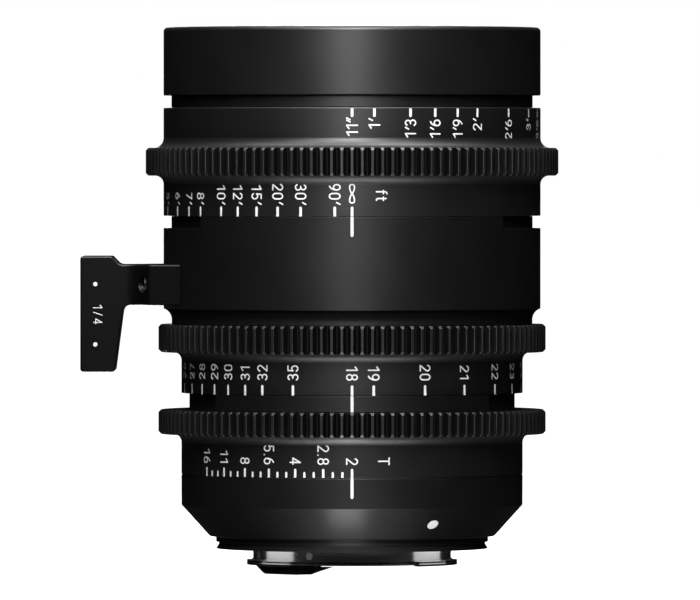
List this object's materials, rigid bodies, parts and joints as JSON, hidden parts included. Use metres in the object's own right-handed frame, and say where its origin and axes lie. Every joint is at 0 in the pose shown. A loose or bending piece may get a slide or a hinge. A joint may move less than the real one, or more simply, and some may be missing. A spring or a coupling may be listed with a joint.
{
  "type": "cinema zoom lens",
  "caption": "Cinema zoom lens with toothed focus, zoom and iris rings, a support foot, an inner iris and a chrome bayonet mount.",
  "frame": {"origin": "centre of the mount's flange face, on the optical axis", "axes": "+Z along the optical axis to the front of the lens; -Y the side with the index lines; -X the side with the foot"},
  "size_m": [0.1203, 0.104, 0.1373],
  "materials": {
    "satin_black": "satin black anodised aluminium",
    "matt_black": "matt black",
    "bare_aluminium": "turned",
    "chrome": "polished",
    "steel": "plain",
    "blade_steel": "blackened steel",
    "bronze": "turned",
    "gold": "plated",
    "contact_plastic": "moulded",
    "board": "lacquered board",
    "seal_rubber": "matt",
    "white_mark": "moulded",
    "coated_glass": "coated"
  },
  "bodies": {
    "housing": {"front_ring": "satin_black", "front_collar": "satin_black", "front_cell": "matt_black", "front_element": "coated_glass", "front_inner_element": "coated_glass", "front_retaining_ring": "matt_black", "front_trim_ring": "matt_black", "main_tube": "bare_aluminium", "main_barrel": "satin_black", "index_band": "satin_black", "rear_barrel": "satin_black", "alignment_dot": "white_mark", "circuit_board": "board", "bayonet_mount": "chrome", "mount_shim": "steel", "mount_screws": "steel", "mount_seal": "seal_rubber", "rear_baffle": "matt_black", "contact_block": "contact_plastic", "contact_pins": "gold", "contact_screws": "steel", "rear_cell": "matt_black", "rear_element": "coated_glass", "rear_inner_element": "coated_glass", "rear_retaining_ring": "matt_black", "iris_base": "matt_black", "iris_cover": "matt_black", "support_foot": "satin_black", "foot_screws": "steel"},
    "focus_ring": {"focus_ring": "satin_black", "focus_cam": "bare_aluminium", "focus_key": "steel"},
    "focus_group": {"focus_cell": "matt_black", "focus_followers": "bronze", "focus_element": "coated_glass"},
    "zoom_ring": {"zoom_ring": "satin_black", "zoom_cam": "bare_aluminium", "zoom_key": "steel"},
    "zoom_front_group": {"zoom_front_cell": "matt_black", "zoom_front_followers": "bronze", "zoom_front_element": "coated_glass"},
    "zoom_rear_group": {"zoom_rear_cell": "matt_black", "zoom_rear_followers": "bronze", "zoom_rear_element": "coated_glass"},
    "iris_ring": {"iris_ring": "satin_black", "iris_drive_lug": "bare_aluminium", "iris_rotor": "matt_black"},
    "iris_blade_1": {"iris_blade_1": "blade_steel"},
    "iris_blade_2": {"iris_blade_2": "blade_steel"},
    "iris_blade_3": {"iris_blade_3": "blade_steel"},
    "iris_blade_4": {"iris_blade_4": "blade_steel"},
    "iris_blade_5": {"iris_blade_5": "blade_steel"},
    "iris_blade_6": {"iris_blade_6": "blade_steel"},
    "iris_blade_7": {"iris_blade_7": "blade_steel"},
    "iris_blade_8": {"iris_blade_8": "blade_steel"},
    "iris_blade_9": {"iris_blade_9": "blade_steel"}
  },
  "joints": [
    {"name": "focus_turn", "type": "hinge", "parent": "housing", "child": "focus_ring", "pos_m": [0, 0, 0.0974], "axis": [0, 0, 1], "range_deg": [0, 180]},
    {"name": "focus_slide", "type": "slide", "parent": "housing", "child": "focus_group", "axis": [0, 0, 1], "range_m": [0, 0.007]},
    {"name": "zoom_turn", "type": "hinge", "parent": "housing", "child": "zoom_ring", "pos_m": [0, 0, 0.0479], "axis": [0, 0, -1], "range_deg": [0, 160]},
    {"name": "zoom_front_slide", "type": "slide", "parent": "housing", "child": "zoom_front_group", "axis": [0, 0, -1], "range_m": [0, 0.007]},
    {"name": "zoom_rear_slide", "type": "slide", "parent": "housing", "child": "zoom_rear_group", "axis": [0, 0, 1], "range_m": [0, 0.006]},
    {"name": "iris_turn", "type": "hinge", "parent": "housing", "child": "iris_ring", "pos_m": [0, 0, 0.027], "axis": [0, 0, 1], "range_deg": [0, 57.6]},
    {"name": "blade_1_swing", "type": "hinge", "parent": "housing", "child": "iris_blade_1", "pos_m": [0.024, 0, 0.0235], "axis": [0, 0, 1], "range_deg": [0, 29.38]},
    {"name": "blade_2_swing", "type": "hinge", "parent": "housing", "child": "iris_blade_2", "pos_m": [0.01839, 0.01543, 0.0235], "axis": [0, 0, 1], "range_deg": [0, 29.38]},
    {"name": "blade_3_swing", "type": "hinge", "parent": "housing", "child": "iris_blade_3", "pos_m": [0.00417, 0.02364, 0.0235], "axis": [0, 0, 1], "range_deg": [0, 29.38]},
    {"name": "blade_4_swing", "type": "hinge", "parent": "housing", "child": "iris_blade_4", "pos_m": [-0.012, 0.02078, 0.0235], "axis": [0, 0, 1], "range_deg": [0, 29.38]},
    {"name": "blade_5_swing", "type": "hinge", "parent": "housing", "child": "iris_blade_5", "pos_m": [-0.02255, 0.00821, 0.0235], "axis": [0, 0, 1], "range_deg": [0, 29.38]},
    {"name": "blade_6_swing", "type": "hinge", "parent": "housing", "child": "iris_blade_6", "pos_m": [-0.02255, -0.00821, 0.0235], "axis": [0, 0, 1], "range_deg": [0, 29.38]},
    {"name": "blade_7_swing", "type": "hinge", "parent": "housing", "child": "iris_blade_7", "pos_m": [-0.012, -0.02078, 0.0235], "axis": [0, 0, 1], "range_deg": [0, 29.38]},
    {"name": "blade_8_swing", "type": "hinge", "parent": "housing", "child": "iris_blade_8", "pos_m": [0.00417, -0.02364, 0.0235], "axis": [0, 0, 1], "range_deg": [0, 29.38]},
    {"name": "blade_9_swing", "type": "hinge", "parent": "housing", "child": "iris_blade_9", "pos_m": [0.01839, -0.01543, 0.0235], "axis": [0, 0, 1], "range_deg": [0, 29.38]}
  ],
  "couplings": [
    {"joint": "focus_slide", "follows": "focus_turn", "m_per_rad": 0.0022282},
    {"joint": "zoom_front_slide", "follows": "zoom_turn", "m_per_rad": 0.0025067},
    {"joint": "zoom_rear_slide", "follows": "zoom_turn", "m_per_rad": 0.0021486},
    {"joint": "blade_1_swing", "follows": "iris_turn", "ratio": 0.51},
    {"joint": "blade_2_swing", "follows": "iris_turn", "ratio": 0.51},
    {"joint": "blade_3_swing", "follows": "iris_turn", "ratio": 0.51},
    {"joint": "blade_4_swing", "follows": "iris_turn", "ratio": 0.51},
    {"joint": "blade_5_swing", "follows": "iris_turn", "ratio": 0.51},
    {"joint": "blade_6_swing", "follows": "iris_turn", "ratio": 0.51},
    {"joint": "blade_7_swing", "follows": "iris_turn", "ratio": 0.51},
    {"joint": "blade_8_swing", "follows": "iris_turn", "ratio": 0.51},
    {"joint": "blade_9_swing", "follows": "iris_turn", "ratio": 0.51}
  ]
}
